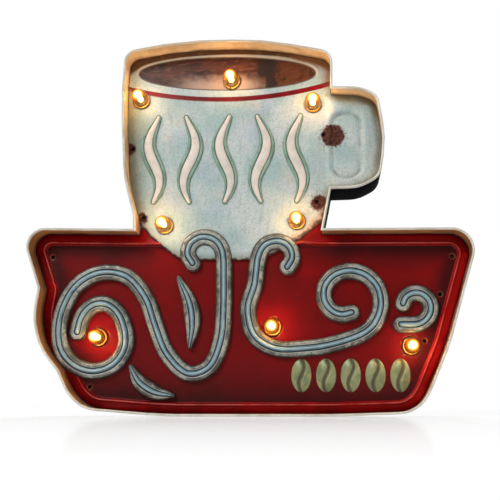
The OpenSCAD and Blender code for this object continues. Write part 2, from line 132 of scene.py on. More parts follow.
def inside(points, loop):
    """Whether each point is inside a loop."""
    x, z = points[:, 0][:, None], points[:, 1][:, None]
    a, b = loop, np.roll(loop, -1, axis=0)
    crosses = (a[:, 1] > z) != (b[:, 1] > z)
    rise = np.where(b[:, 1] == a[:, 1], 1, b[:, 1] - a[:, 1])
    at = a[:, 0] + (z - a[:, 1]) / rise * (b[:, 0] - a[:, 0])
    return (np.sum(crosses & (x < at), axis=1) % 2) == 1


def distance(points, loop):
    """How far each point is from a loop."""
    best = np.full(len(points), 1e9)
    for a, b in zip(loop, np.roll(loop, -1, axis=0)):
        d = b - a
        along = np.clip((points - a) @ d / max(d @ d, 1e-12), 0, 1)
        best = np.minimum(best, np.linalg.norm(points - a - along[:, None] * d, axis=1))
    return best


def offset(loop, t):
    """A counter-clockwise loop moved in by t, each corner along its mitre."""
    back, on = np.roll(loop, 1, axis=0), np.roll(loop, -1, axis=0)

    def left(v):
        v = v / np.linalg.norm(v, axis=1)[:, None]
        return np.stack([-v[:, 1], v[:, 0]], 1)

    n1, n2 = left(loop - back), left(on - loop)
    return loop + (n1 + n2) / (1 + np.sum(n1 * n2, axis=1))[:, None] * t


def circle(x, z, r, count=24):
    turn = np.arange(count) * 2 * np.pi / count
    return np.stack([x + r * np.cos(turn), z + r * np.sin(turn)], 1)


# ---- Making meshes ----


def placed(name, data):
    """A new object in the scene."""
    made = bpy.data.objects.new(name, data)
    bpy.context.scene.collection.objects.link(made)
    return made


JOIN = 0.002  # points closer than this are one


def piece(name, verts, faces, paints, slots=None, sharp=35, attributes=None):
    """A mesh in the frame, from millimetres, with doubled points joined and faces outward."""
    mesh = bpy.data.meshes.new(name)
    mesh.from_pydata([tuple(np.array(v) * MM) for v in verts], [], [tuple(f) for f in faces])
    for paint in paints:
        mesh.materials.append(paint)
    if slots is not None:
        mesh.polygons.foreach_set("material_index", slots)
    for key, values in (attributes or {}).items():
        layer = mesh.attributes.new(key, "FLOAT", "POINT")
        layer.data.foreach_set("value", np.array(values, np.float32))
    work = bmesh.new()
    work.from_mesh(mesh)
    bmesh.ops.remove_doubles(work, verts=work.verts, dist=JOIN * MM)
    bmesh.ops.dissolve_degenerate(work, edges=work.edges, dist=JOIN / 2 * MM)
    bmesh.ops.recalc_face_normals(work, faces=work.faces)
    work.to_mesh(mesh)
    work.free()
    mesh.polygons.foreach_set("use_smooth", [True] * len(mesh.polygons))
    mesh.set_sharp_from_angle(angle=math.radians(sharp))
    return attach(placed(name, mesh), "sign")


def lathe(x, z, profile, steps=40):
    """Verts and faces of a profile of (radius, y) turned about the line through (x, z) along Y."""
    verts, faces = [], []
    count = len(profile)
    for k in range(steps):
        a = 2 * math.pi * k / steps
        verts += [(x + r * math.cos(a), y, z + r * math.sin(a)) for r, y in profile]
    for k in range(steps):
        one, two = k * count, (k + 1) % steps * count
        for j in range(count):
            n = (j + 1) % count
            faces.append((one + j, one + n, two + n, two + j))
    return verts, faces


def swell(line, scale, half_profile, base):
    """A closed band along a line: a half profile of (offset, y) run up one side and down the other.

    base gives the y of the band's back at each point, and a y of None in the profile stands for it.
    """
    steps = np.gradient(line, axis=0)
    steps /= np.linalg.norm(steps, axis=1)[:, None]
    left = np.stack([-steps[:, 1], steps[:, 0]], 1)
    frames = [(p, -n, s) for p, n, s in zip(line, left, scale)]
    turns = np.radians(np.arange(15, 180, 15))
    frames += [
        (line[-1], -left[-1] * math.cos(t) + steps[-1] * math.sin(t), scale[-1]) for t in turns]
    frames += [(p, n, s) for p, n, s in zip(line[::-1], left[::-1], scale[::-1])]
    frames += [(line[0], left[0] * math.cos(t) - steps[0] * math.sin(t), scale[0]) for t in turns]
    offsets = np.array([o for o, _ in half_profile])
    rows = np.array([p + n * o * s for p, n, s in frames for o in offsets])
    backs = base(rows)
    depths = [y for _ in frames for _, y in half_profile]
    verts = [(p[0], b if y is None else y, p[1]) for p, y, b in zip(rows, depths, backs)]
    count, total = len(half_profile), len(frames)
    faces = []
    for k in range(total):
        one, two = k * count, (k + 1) % total * count
        faces += [(one + j, one + j + 1, two + j + 1, two + j) for j in range(count - 1)]
    across = [abs(o) for _ in frames for o in offsets]
    return verts, faces, across


def joined(parts):
    """Several (verts, faces, across) as one."""
    verts, faces, across = [], [], []
    for v, f, a in parts:
        faces += [tuple(i + len(verts) for i in face) for face in f]
        verts += list(v)
        across += list(a)
    return verts, faces, across


def pressed(outer, holes, rings, step, height):
    """Verts, faces and edge distances of a pressed sheet seen from the front.

    outer and each of holes and rings are (loop, y or None); height(points) is the y of what is
    left, and of a loop whose y is None. A triangular lattice of points carries the relief.
    """
    loops = [outer] + holes + rings
    points, depths, edges = [], [], []
    for loop, y in loops:
        first = len(points)
        ys = height(loop) if y is None else [y] * len(loop)
        points += [tuple(p) for p in loop]
        depths += list(ys)
        edges += [(first + i, first + (i + 1) % len(loop)) for i in range(len(loop))]
    (x0, z0), (x1, z1) = outer[0].min(0), outer[0].max(0)
    lattice = np.array([
        (x + (row % 2) * step / 2, z)
        for row, z in enumerate(np.arange(z0 + step / 2, z1, step * 0.87))
        for x in np.arange(x0 + step / 2, x1, step)])
    keep = inside(lattice, outer[0])
    for loop, _ in holes:
        keep &= ~inside(lattice, loop)
    lattice = lattice[keep]
    for loop, _ in loops:
        lattice = lattice[distance(lattice, loop) > 0.5 * step]
    depths += list(height(lattice))
    points += [tuple(p) for p in lattice]
    found = delaunay_2d_cdt([Vector(p) for p in points], edges, [], 0, 1e-5)
    flat = np.array([tuple(v) for v in found[0]])
    ys = [depths[source[0]] if source else float(height(flat[i : i + 1])[0])
          for i, source in enumerate(found[3])]
    faces = np.array([tuple(f) for f in found[2]])
    middles = flat[faces].mean(axis=1)
    keep = inside(middles, outer[0])
    for loop, _ in holes:
        keep &= ~inside(middles, loop)
    verts = [(p[0], y, p[1]) for p, y in zip(flat, ys)]
    return verts, faces[keep].tolist(), distance(flat, outer[0])


SHEET_THICKNESS = 0.9


def sheet(name, shape, paints, node, marks):
    """A pressed sheet as a piece, with its bare back, in place of its CAD node.

    marks maps an attribute's name to a function from points to its values.
    """
    verts, faces, edge = shape
    flat = np.array(verts)[:, ::2]
    attributes = {"edge": edge, **{key: values(flat) for key, values in marks.items()}}
    made = piece(name, verts, faces, paints, sharp=40, attributes=attributes)
    bring_to_front(made)
    solid = made.modifiers.new("thickness", "SOLIDIFY")
    solid.thickness = SHEET_THICKNESS * MM
    solid.offset = -1
    solid.material_offset = 1
    solid.material_offset_rim = 1
    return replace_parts(made, node)


def bring_to_front(made):
    """Turns a sheet's faces towards the viewer."""
    mesh = made.data
    if sum(f.normal.y * f.area for f in mesh.polygons) > 0:
        mesh.flip_normals()


def smoothstep(start, end, value):
    t = np.clip((value - start) / (end - start), 0, 1)
    return t * t * (3 - 2 * t)


# ---- Materials ----


def preset(node, values):
    for key, value in values.items():
        node.inputs[key].default_value = value


def added(tree, kind, settings):
    node = tree.nodes.new(kind)
    for key, value in settings.items():
        setattr(node, key, value)
    return node


def linked(tree, kind, *terms, values=None, **settings):
    """The outputs of a new node, with its first inputs linked to terms and values set by name."""
    node = added(tree, kind, settings)
    for socket, term in zip(node.inputs, terms):
        tree.links.new(term, socket)
    preset(node, values or {})
    return node.outputs


class Val:
    """A number worked out in a material, which takes arithmetic with numbers and its own kind."""

    def __init__(self, paint, socket):
        self.paint = paint
        self.socket = socket

    def op(self, kind, *others, swap=False):
        node = self.paint.add("ShaderNodeMath", operation=kind)
        terms = [*others, self] if swap else [self, *others]
        for socket, term in zip(node.inputs, terms):
            self.paint.feed(socket, term)
        return Val(self.paint, node.outputs[0])

    def __add__(self, other):
        return self.op("ADD", other)

    __radd__ = __add__

    def __sub__(self, other):
        return self.op("SUBTRACT", other)

    def __rsub__(self, other):
        return self.op("SUBTRACT", other, swap=True)

    def __mul__(self, other):
        return self.op("MULTIPLY", other)

    def __truediv__(self, other):
        return self.op("DIVIDE", other)

    def abs(self):
        return self.op("ABSOLUTE")

    def root(self):
        return self.op("SQRT")

    def max(self, other):
        return self.op("MAXIMUM", other)

    def ramp(self, start, end):
        """0 at start and 1 at end, easing in and out, whichever of the two is the greater."""
        node = self.paint.add("ShaderNodeMapRange", interpolation_type="SMOOTHSTEP")
        self.paint.feed(node.inputs["Value"], self)
        preset(node, {"From Min": min(start, end), "From Max": max(start, end)})
        rising = Val(self.paint, node.outputs["Result"])
        return rising if start < end else 1 - rising


def length(u, v):
    """Length of the step (u, v)."""
    return (u * u + v * v).root()


class Paint:
    """One procedural material, with its coordinates in millimetres and its colour in base."""

    def __init__(self, name, roughness=0.5, gloss=0.5, coat=0.0, metal=0.0, clear=0.0):
        self.material = bpy.data.materials.new(name)
        self.material.use_nodes = True
        self.tree = self.material.node_tree
        self.tree.nodes.clear()
        self.shader = self.add("ShaderNodeBsdfPrincipled")
        self.linked("ShaderNodeOutputMaterial", self.shader.outputs[0])
        preset(self.shader, {
            "Roughness": roughness, "Specular IOR Level": gloss, "Coat Weight": coat,
            "Metallic": metal, "Transmission Weight": clear})
        metres = self.linked("ShaderNodeTexCoord")["Object"]
        scale = {"Scale": 1 / MM}
        self.place = self.linked("ShaderNodeVectorMath", metres, values=scale, operation="SCALE")[0]
        parts = self.linked("ShaderNodeSeparateXYZ", self.place)
        self.x, self.y, self.z = (Val(self, part) for part in parts)

    def add(self, kind, **settings):
        return added(self.tree, kind, settings)

    def linked(self, kind, *terms, **settings):
        return linked(self.tree, kind, *terms, **settings)

    def feed(self, socket, value):
        if isinstance(value, Val):
            self.tree.links.new(value.socket, socket)
        elif isinstance(value, bpy.types.NodeSocket):
            self.tree.links.new(value, socket)
        else:
            socket.default_value = value

    def noise(self, size, detail=4, seed=0, stretch=(1, 1, 1), rough=0.5):
        """Noise from 0 to 1 whose lumps are about size across."""
        scale = [1 / (size * s) for s in stretch]
        values = {"Scale": scale, "Location": (seed, seed * 1.7, seed * 2.3)}
        place = self.linked("ShaderNodeMapping", self.place, values=values)[0]
        values = {"Scale": 1.0, "Detail": detail, "Roughness": rough}
        return Val(self, self.linked("ShaderNodeTexNoise", place, values=values)["Fac"])

    def ragged(self, value, amount, size, detail=4, **settings):
        """A number made uneven by noise, by up to half of amount either way."""
        return value + (self.noise(size, detail, **settings) - 0.5) * amount

    def attribute(self, name):
        return Val(self, self.linked("ShaderNodeAttribute", attribute_name=name)["Fac"])

    def near(self, x, z):
        """Distance from a line along Y through (x, z)."""
        return length(self.x - x, self.z - z)

    def mix(self, below, above, mask):
        """Colour above painted over colour below where mask is 1."""
        node = self.add("ShaderNodeMix", data_type="RGBA")
        self.feed(node.inputs["Factor"], mask)
        self.feed(node.inputs[6], shade(below))
        self.feed(node.inputs[7], shade(above))
        return node.outputs[2]

    def over(self, colour, mask):
        """Paints a colour over the base where mask is 1."""
        self.base = self.mix(self.base, colour, mask)

    def rough(self, value):
        self.feed(self.shader.inputs["Roughness"], value)

    def bump(self, height, strength=0.5):
        """height is in millimetres."""
        node = self.add("ShaderNodeBump")
        preset(node, {"Strength": strength, "Distance": MM})
        self.feed(node.inputs["Height"], height)
        self.tree.links.new(node.outputs[0], self.shader.inputs["Normal"])

    def done(self):
        self.feed(self.shader.inputs["Base Color"], shade(self.base))
        return self.material


def shade(colour):
    """A node's colour as it is, or one in the usual 0 to 255 screen steps as a shader colour."""
    if isinstance(colour, bpy.types.NodeSocket):
        return colour
    return [*((c / 255) ** 2.2 for c in colour), 1.0]


RUST = (86, 50, 40)
RUST_DARK = (50, 28, 24)
# painted shade for the dark inside of a nail hole
HOLE_SHADE = (12, 6, 5)
# where the mug's enamel has gone to rust: x, z and radius
RUST_SPOTS = [(76, 256, 11), (63, 193, 7.5), (-112, 246, 6), (-99, 180, 5.5)]
# the ellipses of the mug's mouth: middle x and z, half width and half height
DRINK = (-22.2, 317.0, 82.2, 15.4)
LIP = (-19.9, 314.5, 94.5, 21.5)


def rust_spots(paint):
    """1 inside each of the rust spots, with torn edges."""
    tear = (paint.noise(5, 5, seed=3, rough=0.7) - 0.5) * 8
    return reduce(Val.max, [
        (paint.near(x, z) + tear).ramp(radius + 1, radius - 1.5) for x, z, radius in RUST_SPOTS])


def nail_marks(paint):
    """The bare ring round each nail hole, and the painted shade inside it."""
    gaps = [paint.near(x, z) for x, z in nail_places]
    bare = reduce(Val.max, [gap.ramp(3.3, 2.5) * gap.ramp(1.4, 1.8) for gap in gaps])
    return bare * 0.8, reduce(Val.max, [gap.ramp(2.0, 1.6) for gap in gaps])


def mug_body(p):
    """Chalky blue-white enamel, its stains and painted left-edge shade, and where its specks are."""
    x, z = p.x, p.z
    p.base = p.mix((158, 181, 182), (191, 200, 199), p.noise(34, seed=1).ramp(0.36, 0.66))
    p.over((168, 180, 194), p.noise(22, seed=8).ramp(0.50, 0.72) * 0.6)
    p.over((200, 188, 166), p.noise(26, 5, seed=5).ramp(0.55, 0.76) * 0.35)
    # lighter towards the bottom of the handle
    p.over((214, 220, 214), x.ramp(72, 80) * z.ramp(240, 216) * 0.6)
    fine = p.noise(1.8, seed=2, rough=0.65)
    p.over((132, 146, 140), fine.ramp(0.48, 0.62) * 0.4)
    specks = p.noise(1.3, 3, seed=22).ramp(0.62, 0.74)
    p.over((92, 88, 74), specks * 0.55)
    streaks = p.noise(2.6, seed=6, stretch=(1, 1, 6)).ramp(0.5, 0.75)
    p.over((132, 144, 138), streaks * 0.4)
    # painted shade along the mug's left edge, under the rim
    left_shade = p.ragged(x, 14, 12, seed=23).ramp(-86, -106) * z.ramp(304, 292)
    p.over((112, 122, 98), left_shade * 0.5)
    return specks


def brew(p):
    """The drink: froth at its left, painted glow at its right and a dark stain between."""
    x, z = p.x, p.z
    tone = p.noise(12, 5, seed=9, stretch=(2.5, 1, 1))
    drink = p.mix((82, 44, 26), (50, 26, 17), tone.ramp(0.4, 0.64))
    ripples = p.noise(3, 5, seed=11, stretch=(3, 1, 1))
    drink = p.mix(drink, (112, 74, 50), ripples.ramp(0.52, 0.7) * 0.6)
    froth = p.ragged(z, 14, 9, 5, seed=12).ramp(319, 305) * x.ramp(28, -10) * x.ramp(-82, -44)
    drink = p.mix(drink, (184, 158, 140), froth * 0.8)
    # painted light: a patchy orange glow on the drink's right side
    lamp_glow = x.ramp(-6, 24) * p.noise(5, 5, seed=15).ramp(0.32, 0.58)
    drink = p.mix(drink, (98, 56, 30), lamp_glow * 0.85)
    stain = p.ragged(z, 13, 7, 5, seed=13).ramp(312, 318) * x.ramp(3, 9) * x.ramp(30, 21)
    drip = (p.ragged(x, 6, 5, seed=24) - 19).abs().ramp(6, 3)
    return p.mix(drink, (48, 34, 28), stain.max(drip) * 0.88)


def mug_mouth(p, edge):
    """The mug's mouth: painted shade above its lip, its lip and drink, and the red stripe below."""
    x, z = p.x, p.z
    middle_x, middle_z, half_x, half_z = DRINK
    u = (x - middle_x) / half_x
    v = (p.ragged(z - middle_z, 0.48, 9, seed=4) + (x - middle_x) * 0.01) / half_z
    drink = length(u, v)
    # about how many millimetres a point is outside the drink
    brim = (drink - 1) * drink / length(u / half_x, v / half_z).max(0.001)
    middle_x, middle_z, half_x, half_z = LIP
    lip = length((x - middle_x) / half_x, (z - middle_z) / half_z)
    # painted shade: brown above the lip, darkest near the rim wall
    p.over((134, 94, 66), lip.ramp(0.95, 1.02) * z.ramp(312, 320))
    shade_near_rim = lip.ramp(0.96, 1.03) * z.ramp(314, 320) * p.noise(9, seed=17).ramp(0.22, 0.5)
    p.over((62, 38, 28), shade_near_rim * 0.75)
    # painted shade in the mug's top right corner, beside the rim wall
    corner = p.ragged(edge, 6, 9, seed=28).ramp(13, 2) * z.ramp(297, 307)
    p.over((128, 88, 60), corner * x.ramp(30, 46) * 0.85)
    # painted shade along the top edge of the handle, under the rim wall
    handle_top_shade = p.ragged(edge, 4, 9, seed=29).ramp(9, 1) * z.ramp(262, 280) * x.ramp(72, 80)
    p.over((112, 92, 68), handle_top_shade * 0.85)
    p.over((206, 197, 178), brim.ramp(3.4, 2.4) * z.ramp(311, 318) * 0.85)
    p.over((56, 36, 28), brim.ramp(1.4, 0.7) * 0.85)
    p.over(brew(p), brim.ramp(0.3, -0.4))
    # the stripe's upper edge is a parabola, and this is how far above it a point is
    across = x + 24
    above = z - 294.2 - across * across * 0.0014
    stripe = above.ramp(-4.7, -4.3) * above.ramp(0.4, 0.0) * lip.ramp(1.2, 1.1)
    red = p.mix((116, 12, 17), (90, 9, 13), p.noise(12, seed=14).ramp(0.4, 0.7))
    p.over(red, stripe)


def mug_wear(p, edge):
    """Painted shade at the rim's foot and handle opening, stains and rust, and where the rust is."""
    x, z = p.x, p.z
    # painted shade along the foot of the rim wall
    grime = p.ragged(edge, 8, 10, seed=16).ramp(9, 0) * z.ramp(309, 297)
    p.over((116, 112, 92), grime * 0.6)
    opening = p.attribute("opening")
    # painted shade, mottled, in the crease round the handle's opening
    groove = opening.ramp(-2.6, -0.6) * opening.ramp(2.2, 0.4) * x.ramp(66, 74)
    p.over((104, 118, 108), groove * p.noise(9, seed=26).ramp(0.3, 0.62) * 0.6)
    largest, second = RUST_SPOTS[:2]
    crumbs = p.near(*largest[:2]).ramp(19, 10).max(p.near(*second[:2]).ramp(14, 7))
    crumbs = crumbs * p.noise(2.2, seed=27, rough=0.7).ramp(0.55, 0.63) * 0.85
    foot = p.ragged(edge, 7, 6, 5, seed=18).ramp(2.4, 0.6) * z.ramp(184, 176)
    toe = p.ragged(edge, 10, 6, 5, seed=19).ramp(10, 2) * z.ramp(196, 186) * x.ramp(14, 28)
    p.over((174, 146, 116), toe * 0.6)
    right_foot = p.ragged(edge, 10, 4, 5, seed=25).ramp(5, 1) * toe * 0.9
    rusted = rust_spots(p).max(crumbs).max(foot).max(right_foot)
    rust = p.mix(RUST, RUST_DARK, p.noise(2.4, seed=20).ramp(0.4, 0.62))
    p.over(rust, rusted)
    return rusted


def mug_enamel():
    p = Paint("mug enamel", gloss=0.22)
    edge = p.attribute("edge")
    specks = mug_body(p)
    mug_mouth(p, edge)
    rusted = mug_wear(p, edge)
    p.over(HOLE_SHADE, nail_marks(p)[1])
    p.rough(0.3 + rusted * 0.5 + specks * 0.15)
    p.bump(p.noise(4, 5, seed=21) * 0.12 - rusted * 0.25 - specks * 0.08, 0.6)
    return p.done()


def banner_enamel(field_low, field_high):
    """Red enamel, from the z of the sunk field's lowest and highest edges."""
    p = Paint("banner enamel", gloss=0.17)
    mottle = p.noise(30, 5, seed=1)
    p.base = p.mix((130, 10, 13), (98, 7, 10), mottle.ramp(0.35, 0.7))
    p.over((152, 16, 18), p.noise(16, 5, seed=3).ramp(0.52, 0.75) * 0.5)
    above = p.z - field_high
    # brighter red towards the banner's right end
    p.over((164, 18, 18), p.x.ramp(130, 170) * above.ramp(4, -20) * 0.8)
    edge = p.attribute("edge")
    sunk = p.attribute("sunk")
    in_field = sunk.ramp(0.9, 1.9)
    # painted shade: the field darker near its edges, along its top on the right and towards its
    # bottom
    field_edge_shade = p.ragged(edge, 14, 22, seed=4).ramp(34, 12)
    upper = above.ramp(-34, 0) * p.x.ramp(50, 130)
    lower = (p.z - field_low).ramp(46, 0)
    dark = (field_edge_shade * 0.8).max(upper * 0.95).max(lower * 0.7)
    p.over((106, 11, 12), in_field * 0.65)
    p.over((38, 9, 9), in_field * dark)
    # painted highlight: a pale line along the bead at the field's edge
    bead_highlight = sunk.ramp(-1.9, -1.3) * sunk.ramp(-0.1, -0.7) * p.noise(16, 3, seed=9).ramp(0.25, 0.6)
    p.over((206, 96, 88), bead_highlight * 0.6)
    scuffs = p.noise(2.2, seed=5).ramp(0.64, 0.76)
    p.over((70, 20, 18), scuffs * 0.4)
    chips = p.ragged(edge, 3, 4, 5, seed=6).ramp(1.6, 0.2)
    p.over((60, 26, 24), chips * 0.8)
    bare, hole_shade = nail_marks(p)
    p.over((120, 66, 44), bare)
    p.over(HOLE_SHADE, hole_shade)
    p.rough(0.28 + scuffs * 0.3 + mottle * 0.12)
    p.bump(p.noise(14, 3, seed=7) * 0.5 + p.noise(1.2, 3, seed=8) * 0.03, 0.5)
    return p.done()


SPANGLE = 7  # how wide a crystal of the plating is


def galvanised(name, tone=(150, 152, 148), roughness=0.42):
    """Bare plated tin, with its spangle and some grime."""
    p = Paint(name, metal=0.85)
    cells = p.linked("ShaderNodeTexVoronoi", p.place, values={"Scale": 1 / SPANGLE})["Color"]
    spangle = Val(p, p.linked("ShaderNodeSeparateColor", cells)[0])
    p.base = p.mix(tone, [c * 0.87 for c in tone], spangle)
    p.over((92, 84, 74), p.noise(18, 5, seed=2).ramp(0.56, 0.76) * 0.6)
    p.rough(roughness - 0.08 + spangle * 0.16)
    p.bump(p.noise(9, 3, seed=4) * 0.3, 0.3)
    return p.done()


def rim_paints():
    """The rim's outside, hem and inside, with painted light and shade on the hem and inside."""
    outer = Paint("rim outside", roughness=0.7, gloss=0.004)
    outer.base = outer.mix((9, 9, 10), (18, 18, 17), outer.noise(14, seed=1).ramp(0.4, 0.7))
    outer.over((22, 21, 19), outer.noise(1.8, seed=2).ramp(0.66, 0.76) * 0.4)
    outer.bump(outer.noise(6, 3, seed=3) * 0.15, 0.3)
    hem = Paint("rim hem", roughness=0.4, gloss=0.35)
    hem.base = hem.mix((214, 211, 201), (192, 184, 168), hem.noise(16, seed=1).ramp(0.4, 0.7))
    hem.over((150, 138, 118), hem.noise(2.5, 5, seed=2).ramp(0.62, 0.74) * 0.6)
    # painted shade: the hem darker towards the top
    hem.over((182, 160, 128), hem.z.ramp(318, 334) * 0.6)
    hem.bump(hem.noise(5, 3, seed=3) * 0.12, 0.3)
    wall = Paint("rim inside", roughness=0.45, gloss=0.25)
    mottle = wall.noise(20, seed=1).ramp(0.35, 0.7)
    wall.base = wall.mix((214, 188, 148), (188, 158, 118), mottle)
    # painted light and shade: the inside gold round the mug, where the lamps light it, and browner
    # lower down
    shaded_wall_colour = wall.mix((166, 114, 68), (134, 88, 50), mottle)
    wall.over(shaded_wall_colour, wall.z.ramp(186, 164))
    runs = wall.noise(5, seed=2, stretch=(1, 6, 1)).ramp(0.5, 0.74)
    wall.over((150, 112, 76), runs * 0.2)
    # painted shade: the inside darker deeper in, towards the face sheets
    depths = wall.ragged(wall.y, 8, 16, 3, seed=4).ramp(-9, -1)
    wall.over((98, 60, 36), depths * 0.85)
    wall.over((42, 41, 40), wall.y.ramp(-1.2, -0.4))
    wall.bump(wall.noise(12, 3, seed=3) * 0.3, 0.3)
    return [outer.done(), hem.done(), wall.done()]


def scroll_enamel():
    """Weathered grey band with a pale blue tube along its middle."""
    p = Paint("scroll enamel")
    across = p.attribute("across")
    patches = p.noise(16, 5, seed=1)
    p.base = p.mix((156, 158, 148), (78, 76, 70), patches.ramp(0.40, 0.60))
    p.over((190, 188, 176), p.noise(8, 5, seed=2).ramp(0.54, 0.70) * 0.7)
    p.over((66, 64, 58), p.noise(5, 5, seed=9, rough=0.65).ramp(0.52, 0.64) * 0.65)
    specks = p.noise(1.5, 5, seed=3, rough=0.7).ramp(0.50, 0.66)
    p.over((58, 54, 48), specks * 0.75)
    p.over((98, 74, 56), p.noise(7, 5, seed=4).ramp(0.60, 0.74) * 0.5)
    border = p.ragged(across, 2.4, 3, seed=5).ramp(5.2, 7.1)
    p.over((38, 38, 36), border * 0.85)
    blue = p.mix((112, 142, 156), (84, 112, 126), p.noise(8, seed=6).ramp(0.4, 0.68))
    blue = p.mix(blue, (164, 188, 192), across.ramp(0.9, 0.2) * 0.6)
    p.over(blue, across.ramp(2.3, 2.1))
    pale = across.ramp(2.7, 3.2) * across.ramp(4.0, 3.4)
    p.over((182, 184, 172), pale * 0.6)
    groove = across.ramp(1.8, 2.2) * across.ramp(3.1, 2.6)
    p.over((28, 32, 36), groove)
    p.rough(0.3 + specks * 0.25)
    p.bump(p.noise(1.6, seed=7) * 0.1 + patches * 0.2, 0.5)
    return p.done()


def ribbon_enamel():
    """Sage outline round a cream core."""
    p = Paint("ribbon enamel", roughness=0.36, gloss=0.4)
    across = p.attribute("across")
    sage = p.mix((128, 160, 142), (104, 134, 116), p.noise(9, seed=1).ramp(0.4, 0.7))
    sage = p.mix(sage, (78, 92, 82), p.noise(1.6, seed=2).ramp(0.62, 0.74) * 0.6)
    cream = p.mix((216, 206, 196), (196, 190, 182), p.noise(10, seed=3).ramp(0.4, 0.7))
    cream = p.mix(cream, (150, 150, 136), p.noise(1.5, seed=4).ramp(0.62, 0.76) * 0.6)
    p.base = p.mix(sage, cream, across.ramp(4.4, 4.0))
    line = across.ramp(4.0, 4.5) * across.ramp(5.4, 4.9)
    p.over((74, 98, 90), line * 0.9)
    p.over((66, 86, 78), across.ramp(7.4, 7.9) * 0.9)
    p.bump(p.noise(2, seed=5) * 0.08, 0.4)
    return p.done()


def bean_enamel():
    """Olive and gold enamel, dark in the bean's crease."""
    p = Paint("bean enamel", roughness=0.4, metal=0.15)
    p.base = p.mix((140, 146, 104), (112, 122, 84), p.noise(9, seed=1).ramp(0.4, 0.7))
    p.over((168, 150, 84), p.noise(6, 5, seed=2).ramp(0.55, 0.72) * 0.7)
    p.over((70, 56, 40), p.noise(1.4, seed=3).ramp(0.6, 0.74) * 0.6)
    p.over((58, 46, 30), p.attribute("crease").ramp(0.35, 0.95) * 0.8)
    p.bump(p.noise(1.8, seed=4) * 0.08, 0.4)
    return p.done()


def brass():
    p = Paint("brass", metal=1.0)
    p.base = p.mix((158, 126, 78), (106, 82, 48), p.noise(3, seed=1).ramp(0.4, 0.7))
    p.rough(0.22 + p.noise(1.2, seed=2) * 0.2)
    return p.done()


def amber_glass():
    """Glass that glows in front of its lamp."""
    p = Paint("amber glass", roughness=0.04, clear=1.0)
    preset(p.shader, {"IOR": 1.25})
    p.base = p.mix((255, 214, 140), (255, 196, 110), p.noise(6, 2, seed=1))
    centre_gap = p.attribute("axis")
    core = centre_gap.ramp(5.2, 1.6)
    halo = centre_gap.ramp(7.2, 2.5)
    p.feed(p.shader.inputs["Emission Color"], p.mix((255, 150, 40), (255, 226, 150), core))
    p.feed(p.shader.inputs["Emission Strength"], halo * 0.6 + core * 2.4)
    return p.done()


def lit_epoxy():
    """The lit body of an LED, in two tones of warm white."""
    p = Paint("lit epoxy", roughness=0.3)
    glow = p.mix((255, 214, 130), (255, 244, 206), p.noise(2, 2, seed=1).ramp(0.3, 0.6))
    p.base = (255, 236, 190)
    p.feed(p.shader.inputs["Emission Color"], glow)
    preset(p.shader, {"Emission Strength": 26.0})
    return p.done()


def plastic(name, tone, roughness=0.42):
    """Moulded plastic with a fine spark-eroded grain and a little dust."""
    p = Paint(name)
    dusty = tuple(min(255, c + 34) for c in tone)
    p.base = p.mix(tone, dusty, p.noise(11, seed=1).ramp(0.55, 0.8) * 0.5)
    p.over(dusty, p.noise(1.0, 3, seed=2).ramp(0.62, 0.74) * 0.3)
    p.rough(roughness - 0.06 + p.noise(2, 3, seed=3) * 0.14)
    p.bump(p.noise(0.5, 2, seed=4) * 0.08, 0.4)
    return p.done()


def cell_wrap(split_z, lower_band, upper_band):
    """A plain dry cell's wrap, dark with a gold end.

    The cell above split_z is gold from x upper_band on, and the one below it up to lower_band.
    """
    p = Paint("cell wrap", coat=0.5)
    upper = (p.z - split_z).ramp(-0.5, 0.5)
    low_gold = (p.x - lower_band).ramp(0.3, -0.3)
    high_gold = (p.x - upper_band).ramp(-0.3, 0.3)
    gold = (1 - upper) * low_gold + upper * high_gold
    p.base = p.mix((36, 38, 44), (196, 150, 62), gold)
    p.over((90, 88, 84), p.noise(3, seed=1).ramp(0.64, 0.76) * 0.4)
    p.rough(0.24 + p.noise(5, 3, seed=2) * 0.16)
    return p.done()


# ---- Where things are ----

front = low("rim_banner")[1]
back = high("rim_banner")[1]
mug_y = low("mug_panel")[1]
border_y = low("banner_panel")[1]
CAD_SHEET = 1.0  # thickness of a sheet in the frame
field_y = high("banner_panel")[1] - CAD_SHEET
SHEET_AREA = 5000  # a loop larger than this is the outline of a sheet or field, and not a hole
NAIL_LIMIT = 3.0  # a round hole with a radius below this is a nail hole


def counter_clockwise(loop):
    return loop if area(loop) > 0 else loop[::-1]


def sorted_out(node, y):
    """The outlines of a sheet's faces at depth y, largest first, and its holes there."""
    loops = outlines(node, y)
    large = [counter_clockwise(l) for l in loops if abs(area(l)) > SHEET_AREA]
    return sorted(large, key=area, reverse=True), [l for l in loops if abs(area(l)) < SHEET_AREA]


(mug_outline,), mug_holes = sorted_out("mug_panel", mug_y)
(banner_outline, field_outline), border_holes = sorted_out("banner_panel", border_y)
_, field_holes = sorted_out("banner_panel", field_y)


def hole_at(loop):
    """Centre and radius of a round hole's outline."""
    middle = (loop.min(0) + loop.max(0)) / 2
    return middle[0], middle[1], float((loop.max(0) - loop.min(0)).mean() / 2)


nail_places = [
    hole_at(l)[:2] for l in field_holes + border_holes + mug_holes if hole_at(l)[2] < NAIL_LIMIT]


# ---- Rim ----

HEM = 2.2
OUTSIDE, ON_HEM, INSIDE = range(3)  # slots of the rim's materials
A_MIDDLE = np.array([0.0, 170.0])  # a point that every strip of the rim goes round
# the rolled hem: (distance in from the rim's outside, distance behind its front edge)
hem_profile = [
    (0.0, 2.4), (0.05, 1.2), (0.35, 0.4), (0.9, 0.02), (1.4, 0.05), (1.9, 0.45),
    (2.15, 1.2), (2.2, 2.1), (2.0, 2.8), (1.6, 3.1), (1.2, 3.4)]
# the flange: (distance in from the rim's outside, distance before its back edge, slot)
flange_profile = [
    (1.2, 1.4, INSIDE), (1.5, 1.0, INSIDE), (4.7, 0.95, INSIDE), (5.0, 0.6, OUTSIDE),
    (4.8, 0.05, OUTSIDE), (0.6, 0.0, OUTSIDE), (0.15, 0.2, OUTSIDE), (0.0, 0.7, OUTSIDE)]


